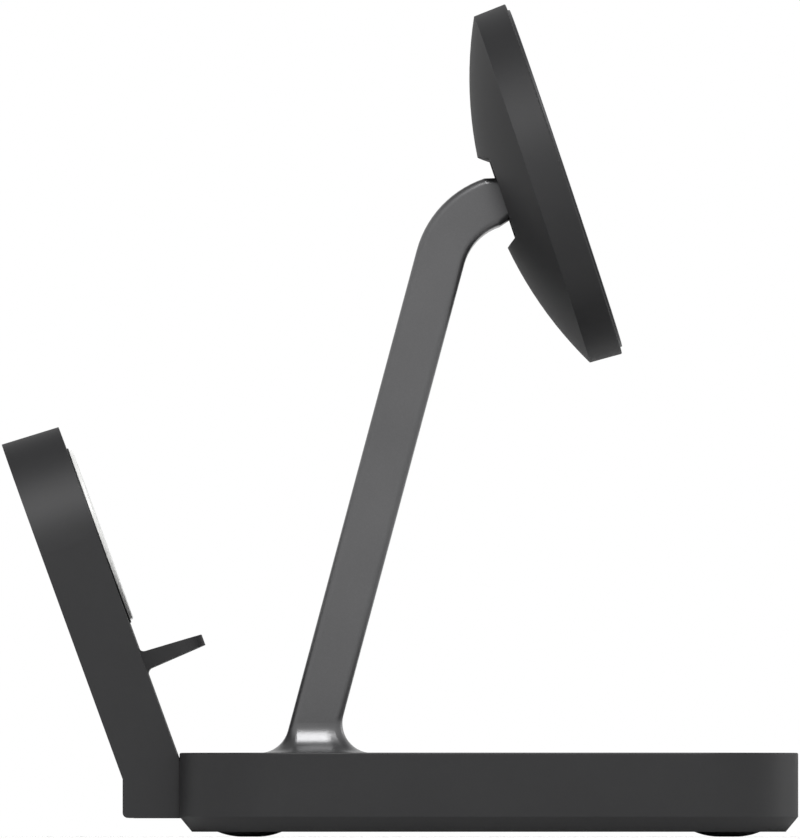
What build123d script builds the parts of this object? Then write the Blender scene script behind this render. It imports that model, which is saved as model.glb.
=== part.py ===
from build123d import *
import os
from math import atan, cos, degrees, radians, sin, tan

# Three in one wireless charger, in millimetres.
# X is the width, the front faces -Y, +Z is up, and the origin is under the middle of the whole object.

# Base housing
base_depth = 94.4
base_width = 68.0
base_corner_r = 15.0
base_height = 12.05
base_wall = 2.0
base_roof = 2.0
base_edge_r = 0.25
skirt_run = 1.9
skirt_rise = 2.3
lip_width = 1.2
lip_height = 1.5

# Feet
foot_dia = 9.6
foot_proud = 0.75
foot_pocket = 0.7
foot_flat_dia = 2.0
foot_inset = 10.65

# Fits
fit_gap = 0.15
glue_gap = 0.05
seat_gap = 0.1
thread_gap = 0.05

# Screws
screw_r = 1.0
screw_head_r = 2.0
screw_head_t = 0.8
screw_socket_r = 0.9
screw_socket_depth = 0.45
screw_wall = 2.0
screw_end_gap = 1.0

# Earbuds pad and its coil
pad_r = 25.0
pad_t = 1.0
coil_r = 20.0
coil_hole_r = 10.0
coil_t = 1.1
ferrite_r = 21.0
ferrite_t = 0.9
carrier_floor = 1.2
carrier_rim = 1.2
carrier_ears = 4
carrier_ear_angle = 45.0
carrier_boss_r = 2.2

# Main board and supply socket
board_t = 1.2
board_width = 39.0
board_front = 36.0
board_rear = 31.0
board_post_r = 2.0
board_post_inset = 4.0
board_peg_r = 0.9
tongue_width = 15.0
chip_size = 7.8
chip_pitch = 15.6
chip_t = 0.9
chip_corner_r = 0.9
crystal_size = 4.9
crystal_offset = 9.8
ballast_t = 1.8
socket_width = 8.94
socket_height = 3.26
socket_length = 8.0
socket_sheet = 0.3
socket_back_t = 1.2
socket_setback = 0.3
socket_blade_width = 6.69
socket_blade_t = 0.7
socket_blade_setback = 1.2

# Arm
arm_setback = 19.5
arm_lean = 15.0
arm_width = 18.0
arm_thickness = 7.57
arm_edge_r = 1.07
arm_straight = 78.6
arm_bend_r = 12.12
arm_root_r = 4.6
arm_core_width = 8.0
arm_core_t = 3.6
foot_plate_t = 1.0
foot_plate_margin = 0.3
spigot_margin = 0.5
clamp_t = 1.5
clamp_margin = 3.0
arm_screw_r = 1.25
arm_screw_head_r = 2.3
arm_screw_head_t = 1.4
arm_screw_length = 8.0
lead_r = 1.1

# Phone head
head_tilt = 18.5
head_face_r = 28.25
head_rim = 5.12
head_draft = 3.2
head_wall = 1.5
rim_edge_r = 0.2
dome_height = 6.8
groove_floor = 4.72
groove_width = 12.5
groove_flare = 33.0
pad_proud = 0.38
face_land = 0.9
phone_pad_t = 0.9
face_plate_t = 1.0
magnet_hole_r = 23.0
magnet_t = 1.8
magnet_count = 16
magnet_gap = 1.0
shunt_t = 0.4
phone_coil_r = 21.8
phone_coil_hole_r = 10.2
phone_coil_t = 1.1
phone_ferrite_t = 0.8
head_board_r = 21.0
head_board_t = 0.8

# Tilt hinge
neck_length = 1.76
neck_t = 6.55
pivot_depth = 3.3
lug_r = 2.2
lug_inset = 1.0
hinge_pin_r = 1.0
hinge_play = 0.05
hinge_pin_head_r = 1.6
hinge_pin_head_t = 0.8
washer_t = 0.3
bracket_t = 1.0
bracket_gap = 0.24
bracket_reach = 5.5
bracket_side = 4.0
ear_r = 1.75
window_margin = 0.2
bracket_screw_r = 0.9
bracket_screw_head_r = 1.7
bracket_screw_head_t = 0.9
bracket_boss_r = 2.0
bracket_screw_grip = 1.9

# Watch stand
stand_lean = 20.0
stand_margin = 3.95
stand_thickness = 9.08
stand_draft = 2.85
stand_wall = 1.6
stand_setback = 0.5
puck_up = 35.4
block_depth = 8.7
block_bottom_z = 2.86
block_corner_r = 0.8
ledge_drop = 19.06
ledge_reach = 9.72
ledge_root_t = 2.78
ledge_tip_t = 1.62
ledge_width = 24.0
ledge_corner_r = 4.2
ledge_root_r = 0.9
cover_t = 1.0
cover_margin = 1.7
cover_rest = 1.5
cover_foot = 3.0
cover_post_r = 1.5

# Watch puck
puck_r = 13.8
puck_proud = 0.8
puck_dish = 0.8
puck_rim = 0.8
puck_edge_r = 0.25
puck_wall = 1.2
puck_flange = 1.3
flange_t = 0.8
bezel_width = 0.4
bezel_proud = 0.28
watch_coil_hole_r = 6.2
watch_coil_t = 1.4
watch_magnet_r = 5.0
watch_ferrite_t = 1.0
watch_board_t = 1.0
watch_board_r = 14.3
watch_board_drop = 23.5
watch_post_x = 10.0
watch_lead_r = 0.9

os.makedirs("parts", exist_ok=True)

# Levels of the base, upwards from the surface it stands on
base_bottom_z = foot_proud
seam_z = base_bottom_z + skirt_rise
base_top_z = base_bottom_z + base_height
roof_z = base_top_z - base_roof
coil_z = roof_z - seat_gap - coil_t
ferrite_z = coil_z - ferrite_t
carrier_z = ferrite_z - carrier_floor

# The watch stand leans back behind the base and sets the rear end of the object.
lean_sin = sin(radians(stand_lean))
lean_cos = cos(radians(stand_lean))
stand_r = puck_r + stand_margin
stand_top_r = stand_r + stand_thickness * tan(radians(stand_draft))
rear_reach = stand_setback + (puck_up + stand_top_r) * lean_sin + stand_thickness * lean_cos
base_y = -rear_reach / 2
base_front_y = base_y - base_depth / 2
base_rear_y = base_y + base_depth / 2
puck_y = base_rear_y + stand_setback + puck_up * lean_sin
puck_z = base_top_z + puck_up * lean_cos
block_rear_y = base_rear_y + block_depth
stand_face = Plane(origin=(0, puck_y, puck_z), x_dir=(1, 0, 0), z_dir=(0, -lean_cos, lean_sin))


# A point of the watch stand's side profile: up along its face from the puck, and out from the face
def stand_point(up, out):
    return (puck_y + up * lean_sin - out * lean_cos, puck_z + up * lean_cos + out * lean_sin)


# The arm's centre line: straight and leaning, then a bend that points it at the phone head
arm_sin = sin(radians(arm_lean))
arm_cos = cos(radians(arm_lean))
head_sin = sin(radians(head_tilt))
head_cos = cos(radians(head_tilt))
arm_turn = 90 - arm_lean - head_tilt
lug_out_x = arm_width / 2 - lug_inset
root_y = base_rear_y - arm_setback
bend_start = (root_y - arm_straight * arm_sin, base_top_z + arm_straight * arm_cos)
bend_centre = (bend_start[0] - arm_bend_r * arm_cos, bend_start[1] - arm_bend_r * arm_sin)
bend_end = (bend_centre[0] + arm_bend_r * head_sin, bend_centre[1] + arm_bend_r * head_cos)


# A point on the phone head's axis, so far in front of the arm's end
def head_point(out):
    return (bend_end[0] - out * head_cos, bend_end[1] + out * head_sin)


# A point of the arm's straight, so far above the base's top
def arm_point(up):
    return (root_y - up * arm_sin, base_top_z + up * arm_cos)


pivot = head_point(neck_length + pivot_depth)
rim_out = neck_length + groove_floor + head_rim
face_centre = (0, *head_point(rim_out))
head_face = Plane(origin=face_centre, x_dir=(1, 0, 0), z_dir=(0, -head_cos, head_sin))
head_side = Plane(origin=face_centre, x_dir=(0, head_sin, head_cos), z_dir=(1, 0, 0))
head_axis = Axis(face_centre, (0, -head_cos, head_sin))
head_back_r = head_face_r - head_rim * tan(radians(head_draft))
dome_r = (head_back_r**2 + dome_height**2) / (2 * dome_height)
dome_centre = dome_r - dome_height - head_rim
floor_w = -head_rim - groove_floor
pivot_w = floor_w + pivot_depth

# Four places near the base's corners, for the feet and the housing screws over them
foot_x = base_width / 2 - foot_inset
foot_y = base_depth / 2 - foot_inset
foot_places = {
    "foot_front_left": (-foot_x, base_y - foot_y),
    "foot_front_right": (foot_x, base_y - foot_y),
    "foot_rear_left": (-foot_x, base_y + foot_y),
    "foot_rear_right": (foot_x, base_y + foot_y),
}
boss_places = list(foot_places.values())
boss_r = screw_r + screw_wall
boss_hole_r = screw_r + thread_gap

# The arm's foot plate reaches past its root fillet, further in front than behind because the arm leans.
root_half = arm_thickness / 2 / arm_cos
root_front = arm_root_r / tan(radians(45 - arm_lean / 2))
root_rear = arm_root_r / tan(radians(45 + arm_lean / 2))
plate_front = root_half + root_front + foot_plate_margin
plate_rear = root_half + root_rear + foot_plate_margin
plate_y = root_y + (plate_rear - plate_front) / 2
plate_depth = plate_front + plate_rear
plate_width = arm_width + 2 * (arm_root_r + foot_plate_margin)
plate_corner_r = arm_edge_r + arm_root_r
spigot_width = arm_width + 2 * spigot_margin
spigot_depth = 2 * (root_half + spigot_margin + base_roof * arm_sin / arm_cos)
arm_screw_x = (arm_core_width + arm_width) / 4
clamp_z = roof_z - clamp_t

# The earbuds pad lies midway between the arm's foot and the base's front edge.
pad_y = (base_front_y + root_y - plate_front) / 2
carrier_r = ferrite_r + fit_gap + carrier_rim
ear_pitch_r = carrier_r + fit_gap + carrier_boss_r

# Main board: its tongue runs out through the base's rear wall and carries the supply socket.
block_corner_up = (block_rear_y - puck_y - stand_thickness * lean_cos) / lean_sin
block_top_z = stand_point(block_corner_up, -stand_thickness)[1]
socket_z = (block_bottom_z + block_top_z) / 2
board_z = socket_z - board_t / 2
socket_rear_y = block_rear_y - socket_setback
socket_front_y = socket_rear_y - socket_length
tongue_rear_y = block_rear_y - stand_wall - fit_gap
post_x = board_width / 2 - board_post_inset
post_places = [
    (x, y)
    for x in (-post_x, post_x)
    for y in (base_y - board_front + board_post_inset, base_y + board_rear - board_post_inset)
]
slot_width = tongue_width + 2 * fit_gap
slot_height = socket_height + 2 * fit_gap
stand_screw_x = slot_width / 2 + screw_head_r + fit_gap + screw_r
lip_notch = 2 * (stand_screw_x + screw_head_r + fit_gap)
lip_inset = base_wall + fit_gap
ballast_inset = lip_inset + lip_width + fit_gap

# Base shell: roof and walls in one moulding, open below
with BuildPart() as base_shell:
    with BuildSketch(Plane.XY.offset(seam_z)):
        with Locations((0, base_y)):
            RectangleRounded(base_width, base_depth, base_corner_r)
    extrude(amount=base_top_z - seam_z)
    fillet(base_shell.faces().sort_by(Axis.Z)[-1].edges(), base_edge_r)
    with BuildSketch(Plane.XY.offset(seam_z)):
        with Locations((0, base_y)):
            RectangleRounded(
                base_width - 2 * base_wall, base_depth - 2 * base_wall, base_corner_r - base_wall
            )
    extrude(amount=roof_z - seam_z, mode=Mode.SUBTRACT)
    with BuildSketch(Plane.XY.offset(seam_z)):
        with Locations(*boss_places):
            Circle(boss_r)
    extrude(amount=roof_z - seam_z)
    with BuildSketch(Plane.XY.offset(carrier_z + carrier_floor)):
        with Locations((0, pad_y)):
            with PolarLocations(ear_pitch_r, carrier_ears, carrier_ear_angle):
                Circle(carrier_boss_r)
    extrude(amount=roof_z - carrier_z - carrier_floor)
    with BuildSketch(Plane.XY.offset(base_top_z - pad_t)):
        with Locations((0, pad_y)):
            Circle(pad_r)
    extrude(amount=pad_t, mode=Mode.SUBTRACT)
    with BuildSketch(Plane.XY.offset(base_top_z - foot_plate_t)):
        with Locations((0, plate_y)):
            RectangleRounded(
                plate_width + 2 * fit_gap, plate_depth + 2 * fit_gap, plate_corner_r + fit_gap
            )
    extrude(amount=foot_plate_t, mode=Mode.SUBTRACT)
    with BuildSketch(Plane.XY.offset(roof_z)):
        with Locations((0, root_y)):
            RectangleRounded(spigot_width + 2 * fit_gap, spigot_depth + 2 * fit_gap, arm_edge_r)
    extrude(amount=base_roof, mode=Mode.SUBTRACT)
    with BuildSketch(Plane.XY.offset(seam_z)):
        with Locations(*boss_places):
            Circle(boss_hole_r)
    extrude(amount=roof_z - seam_z - screw_end_gap, mode=Mode.SUBTRACT)
    with BuildSketch(Plane.XY.offset(carrier_z + carrier_floor)):
        with Locations((0, pad_y)):
            with PolarLocations(ear_pitch_r, carrier_ears, carrier_ear_angle):
                Circle(boss_hole_r)
    extrude(amount=roof_z - carrier_z - carrier_floor, mode=Mode.SUBTRACT)
    with BuildSketch(Plane.XZ.offset(-base_rear_y)):
        with Locations((0, socket_z)):
            SlotOverall(slot_width, slot_height)
        with Locations((-stand_screw_x, socket_z), (stand_screw_x, socket_z)):
            Circle(screw_r + fit_gap)
    extrude(amount=base_wall, mode=Mode.SUBTRACT)
base_shell.part.label = "base_shell"
export_step(base_shell.part, "parts/base_shell.step")

# Bottom plate: the chamfered skirt, a lip inside the walls, foot pockets and posts for the board
with BuildPart() as bottom_plate:
    with BuildSketch(Plane.XY.offset(seam_z)):
        with Locations((0, base_y)):
            RectangleRounded(base_width, base_depth, base_corner_r)
    extrude(amount=-skirt_rise, taper=degrees(atan(skirt_run / skirt_rise)))
    with BuildSketch(Plane.XY.offset(seam_z)):
        with Locations((0, base_y)):
            RectangleRounded(
                base_width - 2 * lip_inset, base_depth - 2 * lip_inset, base_corner_r - lip_inset
            )
        offset(amount=-lip_width, mode=Mode.SUBTRACT)
        with Locations((0, base_rear_y)):
            Rectangle(lip_notch, 2 * (lip_inset + lip_width + fit_gap), mode=Mode.SUBTRACT)
    extrude(amount=lip_height)
    with BuildSketch(Plane.XY.offset(seam_z)):
        with Locations(*post_places):
            Circle(board_post_r)
    extrude(amount=board_z - seam_z)
    with BuildSketch(Plane.XY.offset(board_z)):
        with Locations(*post_places):
            Circle(board_peg_r)
    extrude(amount=board_t)
    with BuildSketch(Plane.XY.offset(base_bottom_z)):
        with Locations(*boss_places):
            Circle(foot_dia / 2 + glue_gap)
    extrude(amount=foot_pocket, mode=Mode.SUBTRACT)
    with BuildSketch(Plane.XY.offset(base_bottom_z + foot_pocket)):
        with Locations(*boss_places):
            Circle(screw_head_r + fit_gap)
    extrude(amount=screw_head_t, mode=Mode.SUBTRACT)
    with BuildSketch(Plane.XY.offset(base_bottom_z)):
        with Locations(*boss_places):
            Circle(screw_r + fit_gap)
    extrude(amount=skirt_rise, mode=Mode.SUBTRACT)
bottom_plate.part.label = "bottom_plate"
export_step(bottom_plate.part, "parts/bottom_plate.step")

# Rubber feet, domed below with a small flat
for foot_name, (place_x, place_y) in foot_places.items():
    with BuildPart() as foot:
        with BuildSketch(Plane(origin=(place_x, place_y, 0), x_dir=(1, 0, 0), z_dir=(0, -1, 0))):
            with BuildLine():
                Line((0, 0), (foot_flat_dia / 2, 0))
                TangentArc((foot_flat_dia / 2, 0), (foot_dia / 2, foot_proud), tangent=(1, 0))
                Line((foot_dia / 2, foot_proud), (foot_dia / 2, foot_proud + foot_pocket))
                Line((foot_dia / 2, foot_proud + foot_pocket), (0, foot_proud + foot_pocket))
                Line((0, foot_proud + foot_pocket), (0, 0))
            make_face()
        revolve(axis=Axis((place_x, place_y, 0), (0, 0, 1)))
    foot.part.label = foot_name
    export_step(foot.part, f"parts/{foot_name}.step")

# Housing screws, hidden above the feet
with BuildPart() as base_screws:
    head_z = base_bottom_z + foot_pocket
    with BuildSketch(Plane.XY.offset(head_z)):
        with Locations(*boss_places):
            Circle(screw_head_r)
    extrude(amount=screw_head_t)
    with BuildSketch(Plane.XY.offset(head_z + screw_head_t)):
        with Locations(*boss_places):
            Circle(screw_r)
    extrude(amount=roof_z - 2 * screw_end_gap - head_z - screw_head_t)
    with BuildSketch(Plane.XY.offset(head_z)):
        with Locations(*boss_places):
            RegularPolygon(screw_socket_r, 6)
    extrude(amount=screw_socket_depth, mode=Mode.SUBTRACT)
base_screws.part.label = "base_screws"
export_step(base_screws.part, "parts/base_screws.step")

# Steel ballast plate on the bottom plate, cut out round the screw bosses and board posts
with BuildPart() as ballast_plate:
    with BuildSketch(Plane.XY.offset(seam_z)):
        with Locations((0, base_y)):
            RectangleRounded(
                base_width - 2 * ballast_inset,
                base_depth - 2 * ballast_inset,
                base_corner_r - ballast_inset,
            )
        with Locations(*boss_places):
            Circle(boss_r + fit_gap, mode=Mode.SUBTRACT)
        with Locations(*post_places):
            Circle(board_post_r + fit_gap, mode=Mode.SUBTRACT)
    extrude(amount=ballast_t)
ballast_plate.part.label = "ballast_plate"
export_step(ballast_plate.part, "parts/ballast_plate.step")

# Soft pad that the earbuds case lies on, flush with the roof
with BuildPart() as earbuds_pad:
    with BuildSketch(Plane.XY.offset(base_top_z - pad_t)):
        with Locations((0, pad_y)):
            Circle(pad_r - fit_gap)
    extrude(amount=pad_t)
    fillet(earbuds_pad.faces().sort_by(Axis.Z)[-1].edges(), base_edge_r)
earbuds_pad.part.label = "earbuds_pad"
export_step(earbuds_pad.part, "parts/earbuds_pad.step")

# Earbuds coil and the ferrite under it
with BuildPart() as earbuds_coil:
    with BuildSketch(Plane.XY.offset(coil_z)):
        with Locations((0, pad_y)):
            Circle(coil_r)
            Circle(coil_hole_r, mode=Mode.SUBTRACT)
    extrude(amount=coil_t)
earbuds_coil.part.label = "earbuds_coil"
export_step(earbuds_coil.part, "parts/earbuds_coil.step")

with BuildPart() as earbuds_ferrite:
    with BuildSketch(Plane.XY.offset(ferrite_z)):
        with Locations((0, pad_y)):
            Circle(ferrite_r)
    extrude(amount=ferrite_t)
earbuds_ferrite.part.label = "earbuds_ferrite"
export_step(earbuds_ferrite.part, "parts/earbuds_ferrite.step")

# Coil carrier: a shallow dish with ears screwed up against the roof's bosses
with BuildPart() as coil_carrier:
    with BuildSketch(Plane.XY.offset(carrier_z)):
        with Locations((0, pad_y)):
            Circle(carrier_r)
            with PolarLocations((carrier_r + ear_pitch_r) / 2, carrier_ears, carrier_ear_angle):
                Rectangle(ear_pitch_r - carrier_r + carrier_rim, 2 * carrier_boss_r)
            with PolarLocations(ear_pitch_r, carrier_ears, carrier_ear_angle):
                Circle(carrier_boss_r)
                Circle(screw_r + fit_gap, mode=Mode.SUBTRACT)
    extrude(amount=carrier_floor)
    with BuildSketch(Plane.XY.offset(ferrite_z)):
        with Locations((0, pad_y)):
            Circle(carrier_r)
            Circle(ferrite_r + fit_gap, mode=Mode.SUBTRACT)
    extrude(amount=roof_z - seat_gap - ferrite_z)
coil_carrier.part.label = "coil_carrier"
export_step(coil_carrier.part, "parts/coil_carrier.step")

with BuildPart() as carrier_screws:
    with BuildSketch(Plane.XY.offset(carrier_z - screw_head_t)):
        with Locations((0, pad_y)):
            with PolarLocations(ear_pitch_r, carrier_ears, carrier_ear_angle):
                Circle(screw_head_r)
    extrude(amount=screw_head_t)
    with BuildSketch(Plane.XY.offset(carrier_z)):
        with Locations((0, pad_y)):
            with PolarLocations(ear_pitch_r, carrier_ears, carrier_ear_angle):
                Circle(screw_r)
    extrude(amount=roof_z - seat_gap - carrier_z)
carrier_screws.part.label = "carrier_screws"
export_step(carrier_screws.part, "parts/carrier_screws.step")

# Main board with its low chips and the forked tongue round the socket
with BuildPart() as main_board:
    with BuildSketch(Plane.XY.offset(board_z)):
        with Locations((0, base_y + (board_rear - board_front) / 2)):
            RectangleRounded(board_width, board_front + board_rear, board_post_r)
        with Locations((0, (base_y + tongue_rear_y) / 2)):
            Rectangle(tongue_width, tongue_rear_y - base_y)
        with Locations((0, (socket_front_y + tongue_rear_y) / 2)):
            Rectangle(
                socket_width + 2 * seat_gap,
                tongue_rear_y - socket_front_y + 2 * seat_gap,
                mode=Mode.SUBTRACT,
            )
        with Locations(*post_places):
            Circle(board_peg_r + seat_gap, mode=Mode.SUBTRACT)
    extrude(amount=board_t)
    with BuildSketch(Plane.XY.offset(board_z + board_t)):
        with Locations((-chip_pitch / 2, pad_y), (chip_pitch / 2, pad_y)):
            RectangleRounded(chip_size, chip_size, chip_corner_r)
        with Locations((0, pad_y + crystal_offset)):
            RectangleRounded(crystal_size, crystal_size, chip_corner_r)
    extrude(amount=chip_t)
main_board.part.label = "main_board"
export_step(main_board.part, "parts/main_board.step")

# Supply socket: a thin sheet shell round a contact blade
with BuildPart() as usb_c_socket:
    with BuildSketch(Plane.XZ.offset(-socket_rear_y)):
        with Locations((0, socket_z)):
            SlotOverall(socket_width, socket_height)
    extrude(amount=socket_length)
    with BuildSketch(Plane.XZ.offset(-socket_rear_y)):
        with Locations((0, socket_z)):
            SlotOverall(socket_width - 2 * socket_sheet, socket_height - 2 * socket_sheet)
            Rectangle(socket_blade_width, socket_blade_t, mode=Mode.SUBTRACT)
    extrude(amount=socket_length - socket_back_t, mode=Mode.SUBTRACT)
    with BuildSketch(Plane.XZ.offset(-socket_rear_y)):
        with Locations((0, socket_z)):
            Rectangle(socket_blade_width, socket_blade_t)
    extrude(amount=socket_blade_setback, mode=Mode.SUBTRACT)
usb_c_socket.part.label = "usb_c_socket"
export_step(usb_c_socket.part, "parts/usb_c_socket.step")

# Arm: one casting with a flush foot plate, a flared root, a bend, a tapered neck and two hinge lugs
run_in = arm_thickness / 2 * tan(radians(arm_lean)) + seat_gap
core_start = arm_point(-base_roof - clamp_t - arm_thickness)
with BuildPart() as arm:
    with BuildLine(Plane.YZ) as arm_line:
        Line(arm_point(-run_in), bend_start)
        JernArc(bend_start, (-arm_sin, arm_cos), arm_bend_r, arm_turn)
    with BuildSketch(
        Plane(origin=(0, *arm_point(-run_in)), x_dir=(1, 0, 0), z_dir=(0, -arm_sin, arm_cos))
    ):
        RectangleRounded(arm_width, arm_thickness, arm_edge_r)
    sweep(path=arm_line.wires()[0])
    with BuildSketch(Plane.XY.offset(base_top_z)):
        with Locations((0, plate_y)):
            RectangleRounded(plate_width, plate_depth, plate_corner_r)
    extrude(amount=-foot_plate_t)
    root_edges = (
        arm.edges()
        .filter_by_position(Axis.Z, base_top_z - glue_gap, base_top_z + glue_gap)
        .filter_by_position(Axis.X, -arm_width / 2 - glue_gap, arm_width / 2 + glue_gap)
        .filter_by_position(Axis.Y, root_y - root_half - glue_gap, root_y + root_half + glue_gap)
    )
    fillet(root_edges, arm_root_r)
    with BuildSketch(Plane.XY.offset(base_top_z - foot_plate_t)):
        with Locations((0, root_y)):
            RectangleRounded(spigot_width, spigot_depth, arm_edge_r)
    extrude(amount=foot_plate_t + seat_gap - base_roof)
    split(bisect_by=Plane.XY.offset(roof_z + seat_gap), keep=Keep.TOP)
    with BuildSketch(
        Plane(origin=(0, *bend_end), x_dir=(1, 0, 0), z_dir=(0, -head_cos, head_sin))
    ):
        RectangleRounded(arm_width, arm_thickness, arm_edge_r)
    with BuildSketch(
        Plane(origin=(0, *head_point(neck_length)), x_dir=(1, 0, 0), z_dir=(0, -head_cos, head_sin))
    ):
        RectangleRounded(arm_width, neck_t, arm_edge_r)
    loft()
    for side in (-1, 1):
        with BuildSketch(Plane.YZ.offset(side * arm_core_width / 2)):
            with Locations(pivot):
                Circle(lug_r)
            with Locations(head_point(neck_length + pivot_depth / 2 - arm_edge_r / 2)):
                Rectangle(pivot_depth + arm_edge_r, 2 * lug_r, rotation=-head_tilt)
            with Locations(pivot):
                Circle(hinge_pin_r + hinge_play, mode=Mode.SUBTRACT)
        extrude(amount=side * (lug_out_x - arm_core_width / 2))
    with BuildLine(Plane.YZ) as core_line:
        Line(core_start, bend_start)
        JernArc(bend_start, (-arm_sin, arm_cos), arm_bend_r, arm_turn)
        Line(bend_end, head_point(neck_length + pivot_depth))
    with BuildSketch(Plane(origin=(0, *core_start), x_dir=(1, 0, 0), z_dir=(0, -arm_sin, arm_cos))):
        RectangleRounded(arm_core_width, arm_core_t, arm_edge_r)
    sweep(path=core_line.wires()[0], mode=Mode.SUBTRACT)
    with BuildSketch(Plane.XY.offset(roof_z)):
        with Locations((-arm_screw_x, root_y), (arm_screw_x, root_y)):
            Circle(arm_screw_r + thread_gap)
    extrude(amount=arm_screw_length - clamp_t, mode=Mode.SUBTRACT)
arm.part.label = "arm"
export_step(arm.part, "parts/arm.step")

# Clamp plate under the roof, drawn up to the arm by two screws
with BuildPart() as arm_clamp_plate:
    with BuildSketch(Plane.XY.offset(clamp_z)):
        with Locations((0, root_y)):
            RectangleRounded(
                spigot_width + 2 * clamp_margin, spigot_depth + 2 * clamp_margin, clamp_margin
            )
            Rectangle(arm_core_width, spigot_depth - 2 * spigot_margin, mode=Mode.SUBTRACT)
        with Locations((-arm_screw_x, root_y), (arm_screw_x, root_y)):
            Circle(arm_screw_r + fit_gap, mode=Mode.SUBTRACT)
    extrude(amount=clamp_t)
arm_clamp_plate.part.label = "arm_clamp_plate"
export_step(arm_clamp_plate.part, "parts/arm_clamp_plate.step")

with BuildPart() as arm_screws:
    with BuildSketch(Plane.XY.offset(clamp_z - arm_screw_head_t)):
        with Locations((-arm_screw_x, root_y), (arm_screw_x, root_y)):
            Circle(arm_screw_head_r)
    extrude(amount=arm_screw_head_t)
    with BuildSketch(Plane.XY.offset(clamp_z)):
        with Locations((-arm_screw_x, root_y), (arm_screw_x, root_y)):
            Circle(arm_screw_r)
    extrude(amount=arm_screw_length - screw_end_gap)
arm_screws.part.label = "arm_screws"
export_step(arm_screws.part, "parts/arm_screws.step")

# Lead inside the arm, from the board up to the hinge
lead_drop = (base_top_z - board_z - board_t - seat_gap) / arm_cos - lead_r * arm_sin / arm_cos
lead_start = arm_point(-lead_drop)
with BuildPart() as arm_lead:
    with BuildLine(Plane.YZ) as lead_line:
        Line(lead_start, bend_start)
        JernArc(bend_start, (-arm_sin, arm_cos), arm_bend_r, arm_turn)
        Line(bend_end, pivot)
    with BuildSketch(Plane(origin=(0, *lead_start), x_dir=(1, 0, 0), z_dir=(0, -arm_sin, arm_cos))):
        Circle(lead_r)
    sweep(path=lead_line.wires()[0])
arm_lead.part.label = "arm_lead"
export_step(arm_lead.part, "parts/arm_lead.step")

# Phone head shell: rim and domed back with the hinge groove across it, open in front
groove_half = groove_width / 2
groove_top_w = floor_w - (dome_height - groove_floor) - head_wall
flare_tan = tan(radians(groove_flare))
cavity_r = head_face_r - head_wall - head_rim * tan(radians(head_draft))
step_w = pad_proud - phone_pad_t - face_plate_t
plate_r = head_face_r - face_land
window_x = arm_width / 2 + fit_gap + window_margin
window_s = groove_half - window_margin
ear_in_x = lug_out_x + washer_t + hinge_play
ear_window_x = ear_in_x + bracket_t + hinge_pin_head_t + fit_gap
bracket_half_x = ear_window_x + bracket_side
bracket_half_s = groove_half + bracket_reach
bracket_screw_x = bracket_half_x - bracket_boss_r
bracket_screw_s = bracket_half_s - bracket_boss_r
bracket_places = [
    (x, s) for x in (-bracket_screw_x, bracket_screw_x) for s in (-bracket_screw_s, bracket_screw_s)
]

# The bracket's rounded corners stand just clear of the dome's inner face.
inner_dome_r = dome_r - head_wall
corner_reach = (bracket_screw_x**2 + bracket_screw_s**2) ** 0.5 + bracket_boss_r
bracket_w = dome_centre - (inner_dome_r**2 - corner_reach**2) ** 0.5 + bracket_gap

# The space inside the shell follows the dome at one wall's thickness, and so does the groove's trough.
with BuildPart() as head_space:
    with BuildSketch(head_side):
        inner_corner_w = dome_centre - (inner_dome_r**2 - cavity_r**2) ** 0.5
        with BuildLine():
            Line((0, 0), (cavity_r, 0))
            Line((cavity_r, 0), (cavity_r, inner_corner_w))
            RadiusArc((cavity_r, inner_corner_w), (0, dome_centre - inner_dome_r), inner_dome_r)
            Line((0, dome_centre - inner_dome_r), (0, 0))
        make_face()
    revolve(axis=head_axis)
    with BuildSketch(head_side):
        trough_half = groove_half + head_wall / cos(radians(groove_flare)) - head_wall * flare_tan
        trough_top = (floor_w + head_wall - groove_top_w) * flare_tan
        Polygon(
            (-trough_half, floor_w + head_wall),
            (trough_half, floor_w + head_wall),
            (trough_half + trough_top, groove_top_w),
            (-trough_half - trough_top, groove_top_w),
            align=None,
        )
    extrude(amount=head_face_r, both=True, mode=Mode.SUBTRACT)

with BuildPart() as head_shell:
    with BuildSketch(head_side):
        with BuildLine():
            Line((0, 0), (head_face_r, 0))
            Line((head_face_r, 0), (head_back_r, -head_rim))
            RadiusArc((head_back_r, -head_rim), (0, -head_rim - dome_height), dome_r)
            Line((0, -head_rim - dome_height), (0, 0))
        make_face()
    revolve(axis=head_axis)
    fillet(head_shell.edges().filter_by(GeomType.CIRCLE).sort_by(head_axis)[-1], rim_edge_r)
    with BuildSketch(head_side):
        groove_top = (floor_w - groove_top_w) * flare_tan
        Polygon(
            (-groove_half, floor_w),
            (groove_half, floor_w),
            (groove_half + groove_top, groove_top_w),
            (-groove_half - groove_top, groove_top_w),
            align=None,
        )
    extrude(amount=head_face_r, both=True, mode=Mode.SUBTRACT)
    add(head_space.part, mode=Mode.SUBTRACT)
    with BuildSketch(head_face.offset(step_w)):
        Circle(plate_r)
    extrude(amount=-step_w, mode=Mode.SUBTRACT)
    with BuildSketch(head_face.offset(bracket_w)):
        with Locations(*bracket_places):
            Circle(bracket_boss_r)
    extrude(until=Until.NEXT, dir=(0, head_cos, -head_sin))
    with BuildSketch(head_face.offset(bracket_w)):
        with Locations(*bracket_places):
            Circle(bracket_screw_r + thread_gap)
    extrude(amount=-bracket_screw_grip, mode=Mode.SUBTRACT)
    with BuildSketch(head_face.offset(floor_w)):
        Rectangle(2 * window_x, 2 * window_s)
    extrude(amount=head_wall, mode=Mode.SUBTRACT)
head_shell.part.label = "head_shell"
export_step(head_shell.part, "parts/head_shell.step")

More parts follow.
